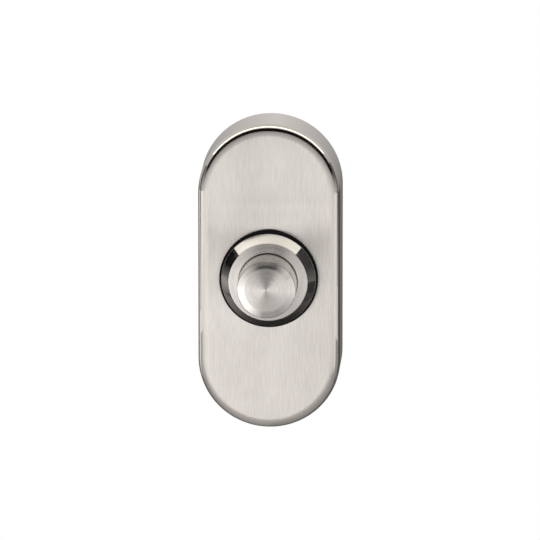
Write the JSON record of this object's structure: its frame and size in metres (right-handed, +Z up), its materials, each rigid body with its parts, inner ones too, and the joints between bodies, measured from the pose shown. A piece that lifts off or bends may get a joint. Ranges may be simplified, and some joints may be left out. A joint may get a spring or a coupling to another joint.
{
  "type": "doorbell button",
  "caption": "Oval brushed-steel bell push with a round stepped bezel and a tall sprung button, fixed to a wall through a hidden back plate.",
  "frame": {"origin": "middle of the back, on the wall plane, halfway between the two wall-screw holes", "axes": "+Y into the wall along the push direction, +Z up along the long side, +X to the right seen from the front"},
  "size_m": [0.032, 0.0254, 0.07],
  "materials": {
    "brushed_steel": "fine vertical brushing",
    "turned_steel": "turned, fine circular tool marks",
    "plated_steel": "zinc plated",
    "brass": "plain",
    "black_rubber": "matt",
    "black_plastic": "moulded, matt",
    "white_nylon": "natural nylon"
  },
  "bodies": {
    "housing": {"cover": "brushed_steel", "back_plate": "black_plastic", "cover_grub_screw": "plated_steel", "switch_body": "turned_steel", "flange_gasket": "black_rubber", "lock_washer": "plated_steel", "lock_nut": "plated_steel", "button_seal": "black_rubber", "return_spring": "plated_steel", "terminal_base": "black_plastic", "retaining_ring": "plated_steel", "terminal_left": "brass", "terminal_right": "brass", "contact_rivets": "brass", "wire_clamps": "plated_steel", "terminal_screws": "plated_steel"},
    "button": {"push_button": "turned_steel", "plunger": "white_nylon", "contact_bridge": "brass", "bridge_clip": "plated_steel"}
  },
  "joints": [
    {"name": "button_press", "type": "slide", "parent": "housing", "child": "button", "axis": [0, 1, 0], "range_m": [0, 0.0025], "stiffness_N_per_m": 550, "springref_m": -0.003, "deforming": ["return_spring"]}
  ]
}
